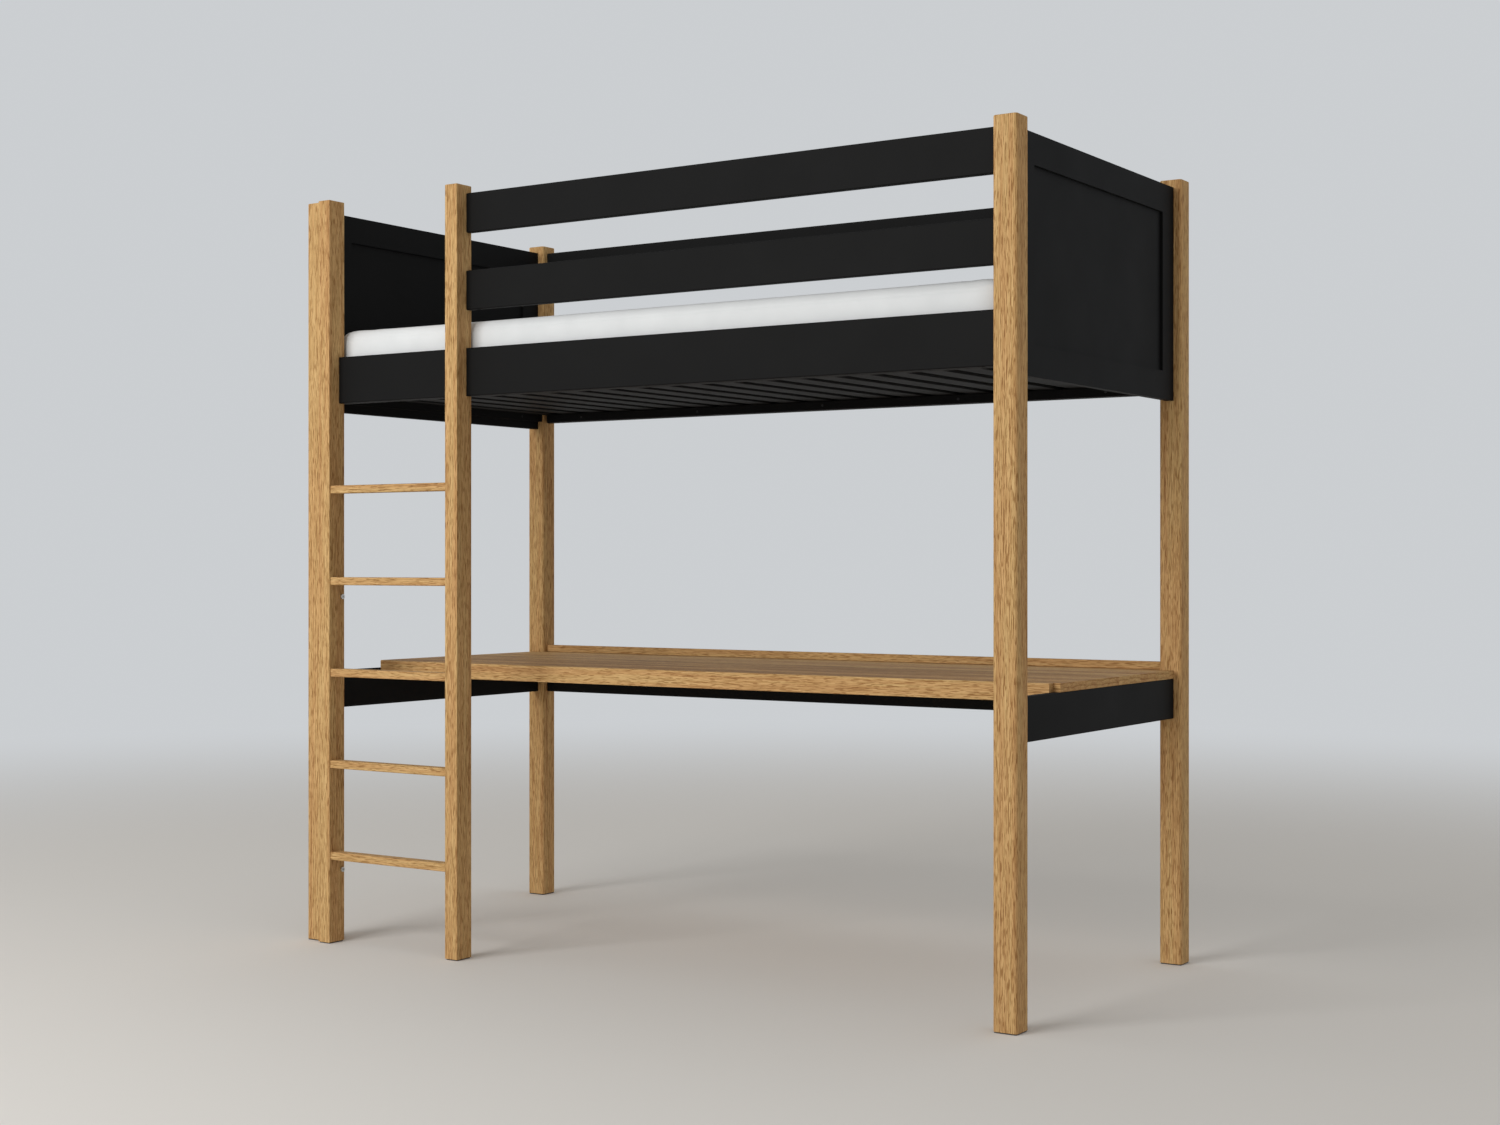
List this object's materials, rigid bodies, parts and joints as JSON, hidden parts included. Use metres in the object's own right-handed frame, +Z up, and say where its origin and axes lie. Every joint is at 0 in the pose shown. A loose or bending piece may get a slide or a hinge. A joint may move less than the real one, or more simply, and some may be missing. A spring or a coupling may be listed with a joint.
{
  "type": "loft bed with desk",
  "caption": "High single bed on oak posts with black painted rails and end panels, a slatted base with a mattress, a fixed front ladder and a long desk underneath",
  "frame": {"origin": "on the floor, under the middle of the bounding box", "axes": "+X along the bed from the ladder end to the other end, +Y from the ladder side to the back, +Z up"},
  "size_m": [2.088, 1.001, 1.96],
  "materials": {
    "oak": "clear matt lacquer, straight fine grain",
    "black_painted_wood": "smooth satin black paint",
    "mattress_cover": "pale knitted cover",
    "zinc_steel": "zinc plated",
    "black_screw": "black phosphated steel",
    "beech_dowel": "bare turned beech",
    "glide_plastic": "matt"
  },
  "bodies": {
    "bed": {"post_front_left": "oak", "post_front_right": "oak", "post_back_left": "oak", "post_back_right": "oak", "ladder_stile_left": "oak", "ladder_stile_right": "oak", "ladder_rung_1": "oak", "ladder_rung_2": "oak", "ladder_rung_3": "oak", "ladder_rung_4": "oak", "ladder_rung_5": "oak", "desk_top": "oak", "desk_lipping": "oak", "desk_upstand": "oak", "side_rail_front": "black_painted_wood", "side_rail_back": "black_painted_wood", "guard_rail_front_upper": "black_painted_wood", "guard_rail_front_lower": "black_painted_wood", "guard_rail_back_upper": "black_painted_wood", "guard_rail_back_lower": "black_painted_wood", "desk_rail_back": "black_painted_wood", "desk_rail_left": "black_painted_wood", "desk_rail_right": "black_painted_wood", "slat_ledger_front": "black_painted_wood", "slat_ledger_back": "black_painted_wood", "slat_cleat_left": "black_painted_wood", "slat_cleat_right": "black_painted_wood", "bed_slats": "black_painted_wood", "end_slat_left": "black_painted_wood", "end_slat_right": "black_painted_wood", "left_panel_top_rail": "black_painted_wood", "left_panel_bottom_rail": "black_painted_wood", "left_panel_stile_front": "black_painted_wood", "left_panel_stile_back": "black_painted_wood", "left_panel_infill": "black_painted_wood", "right_panel_top_rail": "black_painted_wood", "right_panel_bottom_rail": "black_painted_wood", "right_panel_stile_front": "black_painted_wood", "right_panel_stile_back": "black_painted_wood", "right_panel_infill": "black_painted_wood", "connector_studs": "zinc_steel", "barrel_nuts": "zinc_steel", "ladder_bolts": "zinc_steel", "ladder_bolt_inserts": "zinc_steel", "slat_screws": "black_screw", "ledger_screws": "black_screw", "cleat_screws": "black_screw", "stile_screws": "black_screw", "rail_dowels": "beech_dowel", "desk_dowels": "beech_dowel", "upstand_dowels": "beech_dowel", "lipping_dowels": "beech_dowel", "post_glides": "glide_plastic", "ladder_glides": "glide_plastic"},
    "mattress": {"mattress": "mattress_cover"}
  },
  "joints": [
    {"name": "mattress_lift", "type": "slide", "parent": "bed", "child": "mattress", "axis": [0, 0, 1], "range_m": [0, 0.5]}
  ]
}
